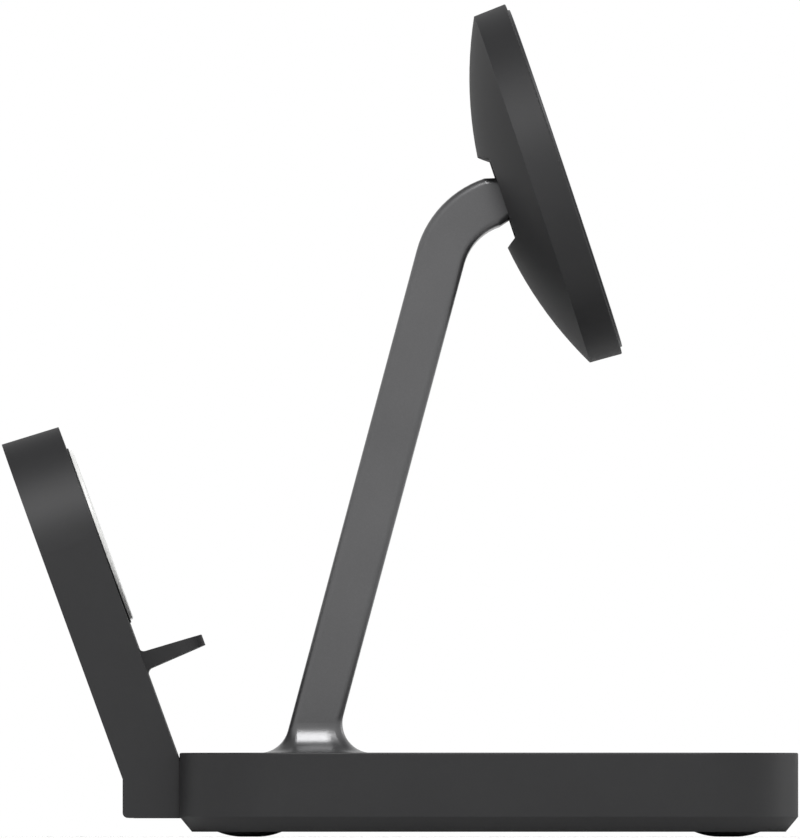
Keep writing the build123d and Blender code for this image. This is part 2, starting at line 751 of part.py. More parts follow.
# Face plate and the soft pad bonded over it, a little proud of the rim
with BuildPart() as head_face_plate:
    with BuildSketch(head_face.offset(step_w)):
        Circle(plate_r - fit_gap)
    extrude(amount=face_plate_t)
head_face_plate.part.label = "head_face_plate"
export_step(head_face_plate.part, "parts/head_face_plate.step")

with BuildPart() as phone_pad:
    with BuildSketch(head_face.offset(step_w + face_plate_t)):
        Circle(plate_r - fit_gap)
    extrude(amount=phone_pad_t)
    fillet(phone_pad.edges().sort_by(head_axis)[-1], base_edge_r)
phone_pad.part.label = "phone_pad"
export_step(phone_pad.part, "parts/phone_pad.step")

# Ring of holding magnets on a steel shunt
magnet_r = cavity_r - fit_gap
with BuildPart() as magnet_ring:
    with BuildSketch(head_face.offset(step_w - magnet_t)):
        Circle(magnet_r)
        Circle(magnet_hole_r, mode=Mode.SUBTRACT)
        with PolarLocations((magnet_r + magnet_hole_r) / 2, magnet_count):
            Rectangle(2 * (magnet_r - magnet_hole_r), magnet_gap, mode=Mode.SUBTRACT)
    extrude(amount=magnet_t)
magnet_ring.part.label = "magnet_ring"
export_step(magnet_ring.part, "parts/magnet_ring.step")

with BuildPart() as magnet_shunt:
    with BuildSketch(head_face.offset(step_w - magnet_t - shunt_t)):
        Circle(magnet_r)
        Circle(magnet_hole_r, mode=Mode.SUBTRACT)
    extrude(amount=shunt_t)
magnet_shunt.part.label = "magnet_shunt"
export_step(magnet_shunt.part, "parts/magnet_shunt.step")

# Phone coil, its ferrite and the driver board behind
phone_ferrite_r = magnet_hole_r - 2 * fit_gap
with BuildPart() as phone_coil:
    with BuildSketch(head_face.offset(step_w - phone_coil_t)):
        Circle(phone_coil_r)
        Circle(phone_coil_hole_r, mode=Mode.SUBTRACT)
    extrude(amount=phone_coil_t)
phone_coil.part.label = "phone_coil"
export_step(phone_coil.part, "parts/phone_coil.step")

with BuildPart() as phone_ferrite:
    with BuildSketch(head_face.offset(step_w - phone_coil_t - phone_ferrite_t)):
        Circle(phone_ferrite_r)
    extrude(amount=phone_ferrite_t)
phone_ferrite.part.label = "phone_ferrite"
export_step(phone_ferrite.part, "parts/phone_ferrite.step")

with BuildPart() as head_board:
    with BuildSketch(head_face.offset(step_w - phone_coil_t - phone_ferrite_t - seat_gap)):
        Circle(head_board_r)
        Rectangle(2 * ear_window_x, 2 * window_s, mode=Mode.SUBTRACT)
    extrude(amount=-head_board_t)
head_board.part.label = "head_board"
export_step(head_board.part, "parts/head_board.step")

# Hinge bracket: a plate behind the groove, with a web across its window beside each lug
with BuildPart() as hinge_bracket:
    with BuildSketch(head_face.offset(bracket_w)):
        RectangleRounded(2 * bracket_half_x, 2 * bracket_half_s, bracket_boss_r)
        Rectangle(2 * ear_window_x, 2 * window_s, mode=Mode.SUBTRACT)
        with Locations(*bracket_places):
            Circle(bracket_screw_r + fit_gap, mode=Mode.SUBTRACT)
    extrude(amount=bracket_t)
    for side in (-1, 1):
        with BuildSketch(head_side.offset(side * ear_in_x)):
            with Locations((0, (bracket_w + pivot_w + ear_r) / 2)):
                Rectangle(2 * (window_s + bracket_t), pivot_w + ear_r - bracket_w)
            with Locations((0, pivot_w)):
                Circle(ear_r)
                Circle(hinge_pin_r + seat_gap, mode=Mode.SUBTRACT)
        extrude(amount=side * bracket_t)
hinge_bracket.part.label = "hinge_bracket"
export_step(hinge_bracket.part, "parts/hinge_bracket.step")

with BuildPart() as bracket_screws:
    with BuildSketch(head_face.offset(bracket_w + bracket_t)):
        with Locations(*bracket_places):
            Circle(bracket_screw_head_r)
    extrude(amount=bracket_screw_head_t)
    with BuildSketch(head_face.offset(bracket_w + bracket_t)):
        with Locations(*bracket_places):
            Circle(bracket_screw_r)
    extrude(amount=-bracket_t - bracket_screw_grip + seat_gap)
bracket_screws.part.label = "bracket_screws"
export_step(bracket_screws.part, "parts/bracket_screws.step")

# Hinge pins with flat heads, and the washers that give the tilt its friction
for side, side_name in ((-1, "left"), (1, "right")):
    with BuildPart() as hinge_pin:
        with BuildSketch(Plane.YZ.offset(side * (ear_in_x + bracket_t))):
            with Locations(pivot):
                Circle(hinge_pin_head_r)
        extrude(amount=side * hinge_pin_head_t)
        with BuildSketch(Plane.YZ.offset(side * (ear_in_x + bracket_t))):
            with Locations(pivot):
                Circle(hinge_pin_r)
        extrude(amount=side * (arm_core_width / 2 + hinge_play - ear_in_x - bracket_t))
    hinge_pin.part.label = f"hinge_pin_{side_name}"
    export_step(hinge_pin.part, f"parts/hinge_pin_{side_name}.step")

    with BuildPart() as friction_washer:
        with BuildSketch(Plane.YZ.offset(side * ear_in_x)):
            with Locations(pivot):
                Circle(lug_r)
                Circle(hinge_pin_r + seat_gap, mode=Mode.SUBTRACT)
        extrude(amount=-side * washer_t)
    friction_washer.part.label = f"friction_washer_{side_name}"
    export_step(friction_washer.part, f"parts/friction_washer_{side_name}.step")

# Watch stand: a leaning slab with a round top on a square block, hollow, with a ledge under the puck
stand_deep = stand_thickness + block_depth
stand_drop = puck_z / lean_cos + stand_thickness
stand_top = 2 * stand_r
side_profile = (
    stand_point(stand_top, 0),
    stand_point(stand_top, -stand_thickness),
    stand_point(block_corner_up, -stand_thickness),
    (block_rear_y, block_bottom_z),
    (base_rear_y, block_bottom_z),
    stand_point((base_rear_y - puck_y) / lean_sin, 0),
)


# Half the stand's width at a depth behind its face: its flanks and round top have one draft.
def stand_half(depth):
    return stand_r + depth * tan(radians(stand_draft))


# A round-topped outline centred on the puck, at a depth behind the stand's face
def round_top(depth, r, drop):
    with BuildSketch(stand_face.offset(-depth)) as outline:
        with BuildLine():
            Line((r, -drop), (r, 0))
            RadiusArc((r, 0), (-r, 0), -r)
            Line((-r, 0), (-r, -drop))
            Line((-r, -drop), (r, -drop))
        make_face()
    return outline.sketch


with BuildPart() as stand_space:
    extrude(
        round_top(stand_deep, stand_half(stand_deep) - stand_wall, stand_drop),
        amount=stand_deep,
        taper=stand_draft,
    )
    with BuildSketch(Plane.YZ):
        Polygon(*side_profile, align=None)
        offset(amount=-stand_wall, kind=Kind.INTERSECTION, mode=Mode.REPLACE)
    extrude(amount=2 * stand_r, both=True, mode=Mode.INTERSECT)

ledge_mid = -ledge_drop - ledge_root_t / 2
stand_axis = Axis(stand_face.origin, stand_face.z_dir)
bezel_r = puck_r + bezel_width
puck_floor_n = puck_dish - puck_proud + puck_wall
puck_flange_n = stand_wall + flange_t
puck_back_n = puck_flange_n + flange_t
watch_board_n = max(puck_back_n, puck_floor_n + watch_coil_t + watch_ferrite_t) + seat_gap
watch_post_places = [(-watch_post_x, ledge_mid), (watch_post_x, ledge_mid)]
cover_r = stand_half(stand_thickness) - cover_margin
cover_drop = -block_corner_up - cover_foot
stand_screw_grip = block_depth - stand_wall
with BuildPart() as watch_stand:
    extrude(
        round_top(stand_deep, stand_half(stand_deep), stand_drop),
        amount=stand_deep,
        taper=stand_draft,
    )
    with BuildSketch(Plane.YZ):
        Polygon(*side_profile, align=None)
    extrude(amount=2 * stand_r, both=True, mode=Mode.INTERSECT)
    fillet(watch_stand.edges().filter_by(Axis.X).sort_by(Axis.Z)[:2].sort_by(Axis.Y)[-1], block_corner_r)
    with BuildSketch(Plane.YZ):
        Polygon(
            stand_point(ledge_mid + ledge_root_t / 2, -stand_wall / 2),
            stand_point(ledge_mid + ledge_root_t / 2, 0),
            stand_point(ledge_mid + ledge_tip_t / 2, ledge_reach),
            stand_point(ledge_mid - ledge_tip_t / 2, ledge_reach),
            stand_point(ledge_mid - ledge_root_t / 2, 0),
            stand_point(ledge_mid - ledge_root_t / 2, -stand_wall / 2),
            align=None,
        )
    extrude(amount=ledge_width / 2, both=True)
    tip_corners = watch_stand.edges().filter_by(Axis((0, 0, 0), stand_face.y_dir))
    fillet(tip_corners.sort_by(stand_axis)[-2:], ledge_corner_r)
    ledge_roots = (
        watch_stand.edges()
        .filter_by(Axis.X)
        .filter_by_position(stand_axis, -glue_gap, glue_gap)
        .filter_by(lambda edge: edge.length < ledge_width + glue_gap)
    )
    fillet(ledge_roots, ledge_root_r)
    add(stand_space.part, mode=Mode.SUBTRACT)
    with BuildSketch(stand_face):
        with Locations(*watch_post_places):
            Circle(board_post_r)
    extrude(amount=-watch_board_n, mode=Mode.ADD)
    with BuildSketch(stand_face.offset(-watch_board_n)):
        with Locations(*watch_post_places):
            Circle(screw_r + thread_gap)
    extrude(amount=watch_board_n - stand_wall, mode=Mode.SUBTRACT)
    with BuildSketch(stand_face):
        Circle(bezel_r + fit_gap)
    extrude(amount=-stand_wall, mode=Mode.SUBTRACT)
    extrude(round_top(stand_thickness, cover_r, cover_drop), amount=cover_t, mode=Mode.SUBTRACT)
    extrude(
        round_top(stand_thickness, cover_r - cover_rest, cover_drop - cover_rest),
        amount=stand_wall,
        mode=Mode.SUBTRACT,
    )
    with BuildSketch(Plane.XZ.offset(-base_rear_y)):
        with Locations((-stand_screw_x, socket_z), (stand_screw_x, socket_z)):
            Circle(screw_r + screw_wall)
    extrude(amount=-stand_screw_grip)
    with BuildSketch(Plane.XZ.offset(-base_rear_y)):
        with Locations((-stand_screw_x, socket_z), (stand_screw_x, socket_z)):
            Circle(screw_r + thread_gap)
    extrude(amount=-stand_screw_grip, mode=Mode.SUBTRACT)
    with BuildSketch(Plane.XZ.offset(-base_rear_y)):
        with Locations((0, socket_z)):
            SlotOverall(slot_width, slot_height)
    extrude(amount=stand_wall - block_depth, mode=Mode.SUBTRACT)
    with BuildSketch(Plane.XZ.offset(-block_rear_y)):
        with Locations((0, socket_z)):
            SlotOverall(socket_width + 2 * fit_gap, slot_height)
    extrude(amount=stand_wall, mode=Mode.SUBTRACT)
watch_stand.part.label = "watch_stand"
export_step(watch_stand.part, "parts/watch_stand.step")

# Screws from inside the base into the stand's block
with BuildPart() as stand_screws:
    with BuildSketch(Plane.XZ.offset(base_wall - base_rear_y)):
        with Locations((-stand_screw_x, socket_z), (stand_screw_x, socket_z)):
            Circle(screw_head_r)
    extrude(amount=screw_head_t)
    with BuildSketch(Plane.XZ.offset(base_wall - base_rear_y)):
        with Locations((-stand_screw_x, socket_z), (stand_screw_x, socket_z)):
            Circle(screw_r)
    extrude(amount=-base_wall - stand_screw_grip + screw_end_gap)
stand_screws.part.label = "stand_screws"
export_step(stand_screws.part, "parts/stand_screws.step")

# Back cover of the stand, flush in its rebate, with two posts that hold the board forward
with BuildPart() as watch_back_cover:
    extrude(round_top(stand_thickness, cover_r - fit_gap, cover_drop - fit_gap), amount=cover_t)
    with BuildSketch(stand_face.offset(-stand_thickness + cover_t)):
        with Locations((-watch_post_x, 0), (watch_post_x, 0)):
            Circle(cover_post_r)
    extrude(amount=stand_thickness - cover_t - watch_board_n - watch_board_t - seat_gap)
watch_back_cover.part.label = "watch_back_cover"
export_step(watch_back_cover.part, "parts/watch_back_cover.step")

# Bezel ring round the puck, with its flange behind the stand's front wall
with BuildPart() as watch_bezel:
    with BuildSketch(stand_face.offset(-stand_wall - flange_t)):
        Circle(bezel_r + puck_flange / 2)
        Circle(puck_r + seat_gap, mode=Mode.SUBTRACT)
    extrude(amount=flange_t)
    with BuildSketch(stand_face.offset(-stand_wall)):
        Circle(bezel_r)
        Circle(puck_r + seat_gap, mode=Mode.SUBTRACT)
    extrude(amount=stand_wall + bezel_proud)
watch_bezel.part.label = "watch_bezel"
export_step(watch_bezel.part, "parts/watch_bezel.step")

# Watch puck: a cup with a dished face and a flange behind the bezel
dish_r = puck_r - puck_rim
with BuildPart() as watch_puck:
    with BuildSketch(Plane(origin=stand_face.origin, x_dir=stand_face.y_dir, z_dir=(1, 0, 0))):
        with BuildLine():
            TangentArc((0, puck_proud - puck_dish), (dish_r, puck_proud), tangent=(1, 0))
            Line((dish_r, puck_proud), (puck_r, puck_proud))
            Line((puck_r, puck_proud), (puck_r, -puck_flange_n))
            Line((puck_r, -puck_flange_n), (puck_r + puck_flange, -puck_flange_n))
            Line((puck_r + puck_flange, -puck_flange_n), (puck_r + puck_flange, -puck_back_n))
            Line((puck_r + puck_flange, -puck_back_n), (puck_r - puck_wall, -puck_back_n))
            Line((puck_r - puck_wall, -puck_back_n), (puck_r - puck_wall, -puck_floor_n))
            Line((puck_r - puck_wall, -puck_floor_n), (0, -puck_floor_n))
            Line((0, -puck_floor_n), (0, puck_proud - puck_dish))
        make_face()
    revolve(axis=stand_axis)
    puck_rims = watch_puck.edges().filter_by(GeomType.CIRCLE).sort_by(stand_axis)[-2:]
    fillet(puck_rims.sort_by(SortBy.RADIUS)[-1], puck_edge_r)
watch_puck.part.label = "watch_puck"
export_step(watch_puck.part, "parts/watch_puck.step")

# Coil, centre magnet and ferrite inside the puck
watch_coil_r = puck_r - puck_wall - fit_gap
with BuildPart() as watch_coil:
    with BuildSketch(stand_face.offset(-puck_floor_n - watch_coil_t)):
        Circle(watch_coil_r)
        Circle(watch_coil_hole_r, mode=Mode.SUBTRACT)
    extrude(amount=watch_coil_t)
watch_coil.part.label = "watch_coil"
export_step(watch_coil.part, "parts/watch_coil.step")

with BuildPart() as watch_magnet:
    with BuildSketch(stand_face.offset(-puck_floor_n - watch_coil_t - watch_ferrite_t)):
        Circle(watch_magnet_r)
    extrude(amount=watch_coil_t + watch_ferrite_t)
watch_magnet.part.label = "watch_magnet"
export_step(watch_magnet.part, "parts/watch_magnet.step")

with BuildPart() as watch_ferrite:
    with BuildSketch(stand_face.offset(-puck_floor_n - watch_coil_t - watch_ferrite_t)):
        Circle(watch_coil_r)
        Circle(watch_magnet_r + fit_gap, mode=Mode.SUBTRACT)
    extrude(amount=watch_ferrite_t)
watch_ferrite.part.label = "watch_ferrite"
export_step(watch_ferrite.part, "parts/watch_ferrite.step")

# Watch board behind the puck, screwed to two posts below it, and its leads down to the main board
with BuildPart() as watch_board:
    extrude(
        round_top(watch_board_n + watch_board_t, watch_board_r, watch_board_drop),
        amount=watch_board_t,
    )
    with BuildSketch(stand_face.offset(-watch_board_n)):
        with Locations(*watch_post_places):
            Circle(screw_r + fit_gap)
    extrude(amount=-watch_board_t, mode=Mode.SUBTRACT)
watch_board.part.label = "watch_board"
export_step(watch_board.part, "parts/watch_board.step")

with BuildPart() as watch_board_screws:
    with BuildSketch(stand_face.offset(-watch_board_n - watch_board_t)):
        with Locations(*watch_post_places):
            Circle(screw_head_r)
    extrude(amount=-screw_head_t)
    with BuildSketch(stand_face.offset(-watch_board_n - watch_board_t)):
        with Locations(*watch_post_places):
            Circle(screw_r)
    extrude(amount=watch_board_n + watch_board_t - stand_wall - seat_gap)
watch_board_screws.part.label = "watch_board_screws"
export_step(watch_board_screws.part, "parts/watch_board_screws.step")

watch_lead_n = watch_board_n + watch_board_t / 2
watch_lead_x = (tongue_width + socket_width) / 4 + seat_gap / 2
watch_lead_foot = (puck_z - watch_lead_n * lean_sin - board_z - board_t - seat_gap) / lean_cos
watch_lead_foot -= watch_lead_r * lean_sin / lean_cos
with BuildPart() as watch_leads:
    with BuildSketch(
        Plane(
            origin=(0, *stand_point(-watch_board_drop - seat_gap, -watch_lead_n)),
            x_dir=(1, 0, 0),
            z_dir=(0, -lean_sin, -lean_cos),
        )
    ):
        with Locations((-watch_lead_x, 0), (watch_lead_x, 0)):
            Circle(watch_lead_r)
    extrude(amount=watch_lead_foot - watch_board_drop - seat_gap)
watch_leads.part.label = "watch_leads"
export_step(watch_leads.part, "parts/watch_leads.step")
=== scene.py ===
import math

import bmesh
import bpy
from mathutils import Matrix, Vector


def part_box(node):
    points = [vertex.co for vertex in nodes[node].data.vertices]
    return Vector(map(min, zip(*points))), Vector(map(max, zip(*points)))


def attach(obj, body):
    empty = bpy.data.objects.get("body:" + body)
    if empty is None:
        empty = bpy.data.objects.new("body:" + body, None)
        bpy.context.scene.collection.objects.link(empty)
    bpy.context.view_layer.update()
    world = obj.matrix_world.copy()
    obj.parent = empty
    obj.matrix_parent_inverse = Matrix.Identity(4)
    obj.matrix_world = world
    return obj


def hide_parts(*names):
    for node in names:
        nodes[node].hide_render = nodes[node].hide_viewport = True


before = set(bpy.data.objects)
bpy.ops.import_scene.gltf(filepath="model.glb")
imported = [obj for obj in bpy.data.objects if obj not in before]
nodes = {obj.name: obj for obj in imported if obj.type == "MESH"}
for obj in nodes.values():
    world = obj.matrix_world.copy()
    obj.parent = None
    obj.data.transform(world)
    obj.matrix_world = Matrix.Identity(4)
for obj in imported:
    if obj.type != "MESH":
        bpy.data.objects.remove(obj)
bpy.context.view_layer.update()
scene = bpy.context.scene
scene.view_settings.view_transform = "Standard"
print("frame loaded:", len(nodes), "nodes")


def hexLinear(code):  # sRGB hex to the linear colour that a shader wants
    shares = [int(code[i:i + 2], 16) / 255 for i in (1, 3, 5)]
    return [c / 12.92 if c <= 0.04045 else ((c + 0.055) / 1.055) ** 2.4 for c in shares] + [1.0]


def perMetre(mm):  # a texture's scale from the size of one feature
    return 1000 / mm


# A setting is a node's property, a socket's value or a ramp's stops
def addNode(tree, kind, settings=None, links=None):
    node = tree.nodes.new("ShaderNode" + kind)
    for key, value in (settings or {}).items():
        if key == "stops":
            for stop, (place, code) in zip(node.color_ramp.elements, value):
                stop.position, stop.color = place, hexLinear(code)
        elif isinstance(key, str) and hasattr(node, key):
            setattr(node, key, value)
        else:
            node.inputs[key].default_value = value
    for key, source in (links or {}).items():
        tree.links.new(source, node.inputs[key])
    return node


def startMaterial(name):
    material = bpy.data.materials.new(name)
    material.use_nodes = True
    material.node_tree.nodes.clear()
    place = addNode(material.node_tree, "TexCoord").outputs["Object"]
    return material, material.node_tree, place


# A finish drifts a little in tone and gloss over its drift size, and its grain is bumped and tints it slightly
def makeFinish(name, look):
    material, tree, place = startMaterial(name)
    drift = addNode(tree, "TexNoise", {"Scale": perMetre(look["driftMm"]), "Detail": 4.0}, {"Vector": place})
    grain = addNode(tree, look.get("grain", "TexNoise"), {"Scale": perMetre(look["grainMm"])},
                    {"Vector": place})
    mottle = addNode(tree, "Math", {"operation": "MULTIPLY_ADD", 1: look.get("grainTint", 0.25)},
                     {0: grain.outputs[0], 2: drift.outputs["Fac"]})
    tone = addNode(tree, "ValToRGB", {"stops": [(0.4, look["low"]), (0.8, look["high"])]},
                   {"Fac": mottle.outputs["Value"]})
    rough = addNode(tree, "MapRange", {"From Min": 0.3, "From Max": 0.7, "To Min": look["rough"][0],
                                       "To Max": look["rough"][1]}, {"Value": drift.outputs["Fac"]})
    bump = addNode(tree, "Bump", {"Strength": look.get("bump", 0.5), "Distance": look["depthMm"] / 1000},
                   {"Height": grain.outputs[0]})
    shader = addNode(tree, "BsdfPrincipled", look["sockets"],
                     {"Base Color": tone.outputs["Color"], "Roughness": rough.outputs["Result"],
                      "Normal": bump.outputs["Normal"]})
    addNode(tree, "OutputMaterial", links={"Surface": shader.outputs["BSDF"]})
    return material


# ABS moulded in a spark-eroded tool: even and matte, under a resin-rich skin that shows as a thin coat,
# with one broad soft band of sheen where it turns up to the light.
# The tool's grain is about 0.15 mm, and is drawn at twice that so that it shows.
mouldedAbs = {"low": "#272728", "high": "#2b2b2c", "driftMm": 18, "grainMm": 0.3, "depthMm": 0.006,
              "rough": (0.74, 0.8), "sockets": {"IOR": 1.53, "Specular IOR Level": 0.05, "Coat Weight": 0.22,
                                                "Coat IOR": 1.9, "Coat Roughness": 0.46}}
# Cast aluminium, sprayed with a satin lacquer full of fine metal flake: grey, even, and bright where
# it turns to a lamp. The flakes are about 0.05 mm, drawn at 0.25 mm.
flakeLacquer = {"low": "#5c5c5d", "high": "#626263", "driftMm": 22, "grain": "TexVoronoi", "grainMm": 0.25,
                "depthMm": 0.006, "rough": (0.29, 0.34), "sockets": {"Metallic": 0.6}}
# Polycarbonate moulded in a polished tool: clean white with a clear gloss over it
whitePolycarbonate = {"low": "#eeeeec", "high": "#f3f3f1", "driftMm": 7, "grainMm": 1.4, "depthMm": 0.002,
                      "bump": 0.3, "rough": (0.14, 0.2), "sockets": {"IOR": 1.585}}
# Silicone rubber, pressure moulded with a frosted tool: deep and soft, hazed at a low angle by its own bloom.
# Its frost is about 0.08 mm, drawn at 0.25 mm.
frostedSilicone = {"low": "#2d2d2f", "high": "#323234", "driftMm": 12, "grain": "TexVoronoi", "grainMm": 0.25,
                   "depthMm": 0.006, "rough": (0.46, 0.52),
                   "sockets": {"IOR": 1.41, "Sheen Weight": 0.06, "Sheen Roughness": 0.5}}
# Nitrile rubber, compression moulded: dull grey with a slight powdery bloom
mouldedRubber = {"low": "#48484a", "high": "#515153", "driftMm": 4, "grainMm": 0.4, "depthMm": 0.01,
                 "rough": (0.7, 0.8), "sockets": {"IOR": 1.52, "Specular IOR Level": 0.3}}
# ABS moulded in a plain tool, inside the housings: flow marks and a low gloss
plainAbs = {"low": "#37373a", "high": "#3e3e41", "driftMm": 8, "grainMm": 0.8, "depthMm": 0.006,
            "rough": (0.38, 0.46), "sockets": {"IOR": 1.53}}
# Cold rolled steel: bright and cool, slightly clouded by the rolls
rolledSteel = {"low": "#b4b4b6", "high": "#c2c2c4", "driftMm": 3, "grainMm": 0.25, "depthMm": 0.003,
               "rough": (0.26, 0.36), "sockets": {"Metallic": 1.0}}
# Steel drawn to a shell and tin plated: soft and pale, with tiny dimples
drawnSteel = {"low": "#9c9c9e", "high": "#aeaeb0", "driftMm": 2, "grain": "TexVoronoi", "grainMm": 0.2,
              "depthMm": 0.003, "rough": (0.3, 0.4), "sockets": {"Metallic": 1.0}}
# Gold flashed over nickel: warm and bright, thin enough to look slightly pale
flashedGold = {"low": "#d8b25c", "high": "#e6c474", "driftMm": 0.8, "grainMm": 0.15, "depthMm": 0.002,
               "rough": (0.2, 0.28), "sockets": {"Metallic": 1.0}}
# Steel, phosphated and oiled where it shows beside the arm: dull black with a crystalline bloom
phosphatedSteel = {"low": "#161617", "high": "#1d1d1f", "driftMm": 2, "grain": "TexVoronoi", "grainMm": 0.25,
                   "depthMm": 0.006, "rough": (0.5, 0.62), "sockets": {"Metallic": 0.6}}
# Nickel plate on sintered magnets: mirror bright, a little yellow
platedNickel = {"low": "#c0bdb6", "high": "#ccc9c2", "driftMm": 5, "grainMm": 0.5, "depthMm": 0.002,
                "rough": (0.12, 0.2), "sockets": {"Metallic": 1.0}}
# Ferrite, pressed and sintered: dull charcoal with a coarse powder grain
sinteredFerrite = {"low": "#2a2a2c", "high": "#3a3a3c", "driftMm": 2.5, "grain": "TexVoronoi", "grainMm": 0.3,
                   "depthMm": 0.02, "grainTint": 0.5, "rough": (0.75, 0.85), "sockets": {"IOR": 2.0}}
# Nylon with graphite, machined to thin washers: nearly black and waxy
machinedNylon = {"low": "#19191b", "high": "#212123", "driftMm": 2, "grainMm": 0.2, "depthMm": 0.004,
                 "rough": (0.45, 0.55), "sockets": {"IOR": 1.53}}
# PVC, extruded as a wire's sheath: black with a low waxy gloss
extrudedPvc = {"low": "#18181a", "high": "#202022", "driftMm": 3, "grainMm": 0.3, "depthMm": 0.005,
               "rough": (0.42, 0.5), "sockets": {"IOR": 1.54}}


# Enamelled copper, wound flat: each turn has a painted highlight along its crown and painted shade in the gap to
# the next turn, over a bumped turn. The turns are 0.35 mm apart.
# dark is painted shade for the gaps between turns, bright is a painted highlight for each turn's crown
woundCopper = {"dark": "#8a4526", "bright": "#c8794a", "turnMm": 0.35, "depthMm": 0.12, "bump": 0.8,
               "rough": 0.28, "enamel": 0.5}


def makeWoundCopper(name, look, centre, axis):
    material, tree, place = startMaterial(name)
    spoke = addNode(tree, "VectorMath", {"operation": "SUBTRACT", 1: centre}, {0: place})
    across = addNode(tree, "VectorMath", {"operation": "CROSS_PRODUCT", 1: axis}, {0: spoke.outputs["Vector"]})
    reach = addNode(tree, "VectorMath", {"operation": "LENGTH"}, {0: across.outputs["Vector"]})
    halfTurn = look["turnMm"] / 2000
    turn = addNode(tree, "Math", {"operation": "PINGPONG", 1: halfTurn}, {0: reach.outputs["Value"]})
    wire = addNode(tree, "MapRange", {"interpolation_type": "SMOOTHERSTEP", "From Max": halfTurn},
                   {"Value": turn.outputs["Value"]})
    # painted highlight and shade: the colour runs from the dark tone in the gaps between turns to the bright tone
    # on each turn's crown
    tone = addNode(tree, "ValToRGB", {"stops": [(0.0, look["dark"]), (0.6, look["bright"])]},
                   {"Fac": wire.outputs["Result"]})
    bump = addNode(tree, "Bump", {"Strength": look["bump"], "Distance": look["depthMm"] / 1000},
                   {"Height": wire.outputs["Result"]})
    shader = addNode(tree, "BsdfPrincipled",
                     {"Metallic": 1.0, "Roughness": look["rough"], "Coat Weight": look["enamel"]},
                     {"Base Color": tone.outputs["Color"], "Normal": bump.outputs["Normal"]})
    addNode(tree, "OutputMaterial", links={"Surface": shader.outputs["BSDF"]})
    return material


# Glass epoxy board under a printed solder mask: dark green, with paler tracks 0.4 mm wide raised beneath it
printedBoard = {"mask": "#123c22", "track": "#1f5a34", "trackMm": 2.4, "depthMm": 0.03, "rough": 0.32}


def makePrintedBoard(name, look):
    material, tree, place = startMaterial(name)
    cells = addNode(tree, "TexVoronoi", {"distance": "MANHATTAN", "feature": "DISTANCE_TO_EDGE",
                                         "Scale": perMetre(look["trackMm"])}, {"Vector": place})
    tone = addNode(tree, "ValToRGB", {"stops": [(0.08, look["track"]), (0.12, look["mask"])]},
                   {"Fac": cells.outputs["Distance"]})
    bump = addNode(tree, "Bump", {"Strength": 0.4, "Distance": look["depthMm"] / 1000, "invert": True},
                   {"Height": cells.outputs["Distance"]})
    shader = addNode(tree, "BsdfPrincipled", {"Roughness": look["rough"], "IOR": 1.55},
                     {"Base Color": tone.outputs["Color"], "Normal": bump.outputs["Normal"]})
    addNode(tree, "OutputMaterial", links={"Surface": shader.outputs["BSDF"]})
    return material


# Where the round faces lie, in millimetres: the tilted phone face, the watch face and the earbuds rest
faces = {"phone": ((0, -25.1877, 100.7593), 18.5), "watch": ((0, 46.1248, 46.0651), 20.0),
         "earbuds": ((0, -28.5394, 12.8), 90.0)}


def faceFrame(which):  # centre in metres, and the way the face looks
    centre, tilt = faces[which]
    lift = math.radians(tilt)
    return Vector(centre) / 1000, Vector((0, -math.cos(lift), math.sin(lift)))


silicone = makeFinish("frosted silicone rubber", frostedSilicone)
polycarbonate = makeFinish("polished white polycarbonate", whitePolycarbonate)
grainedAbs = makeFinish("spark grained ABS", mouldedAbs)
tinnedSteel = makeFinish("drawn tinned steel", drawnSteel)
gold = makeFinish("gold flash", flashedGold)
innerAbs = makeFinish("moulded ABS inside", plainAbs)
finishes = [
    (grainedAbs, "base_shell bottom_plate watch_stand watch_back_cover watch_bezel head_shell"),
    (makeFinish("flake lacquered aluminium", flakeLacquer), "arm"),
    (silicone, "phone_pad earbuds_pad"),
    (polycarbonate, "watch_puck"),
    (makeFinish("moulded nitrile rubber", mouldedRubber),
     "foot_front_left foot_front_right foot_rear_left foot_rear_right"),
    (tinnedSteel, "usb_c_socket"),
    (innerAbs, "coil_carrier head_face_plate"),
    (makeFinish("cold rolled steel", rolledSteel),
     "arm_clamp_plate arm_screws ballast_plate base_screws carrier_screws magnet_shunt stand_screws "
     "watch_board_screws"),
    (makeFinish("phosphated steel", phosphatedSteel),
     "hinge_bracket bracket_screws hinge_pin_left hinge_pin_right"),
    (makeFinish("plated nickel", platedNickel), "magnet_ring watch_magnet"),
    (makeFinish("sintered ferrite", sinteredFerrite), "earbuds_ferrite phone_ferrite watch_ferrite"),
    (makePrintedBoard("solder masked board", printedBoard), "main_board head_board watch_board"),
    (makeFinish("extruded PVC sheath", extrudedPvc), "arm_lead watch_leads"),
    (makeFinish("machined nylon", machinedNylon), "friction_washer_left friction_washer_right"),
]
for which in ("phone", "watch", "earbuds"):
    copper = makeWoundCopper("wound enamelled copper " + which, woundCopper, *faceFrame(which))
    finishes.append((copper, which + "_coil"))
for material, names in finishes:
    for name in names.split():
        nodes[name].data.materials.clear()
        nodes[name].data.materials.append(material)
print("materials made:", len(finishes))


def softProfile(corners, steps=6):  # each corner is across, up and its own rounding, in millimetres
    points = []
    for i, (across, up, radius) in enumerate(corners):
        here = Vector((across, up))
        if not radius:
            points.append(here)
            continue
        before = (Vector(corners[i - 1][:2]) - here).normalized()
        after = (Vector(corners[(i + 1) % len(corners)][:2]) - here).normalized()
        half = before.angle(after) / 2
        centre = here + (before + after).normalized() * (radius / math.sin(half))
        start = (here + before * (radius / math.tan(half)) - centre).normalized()
        end = (here + after * (radius / math.tan(half)) - centre).normalized()
        points += [centre + radius * start.slerp(end, k / steps) for k in range(steps + 1)]
    return points


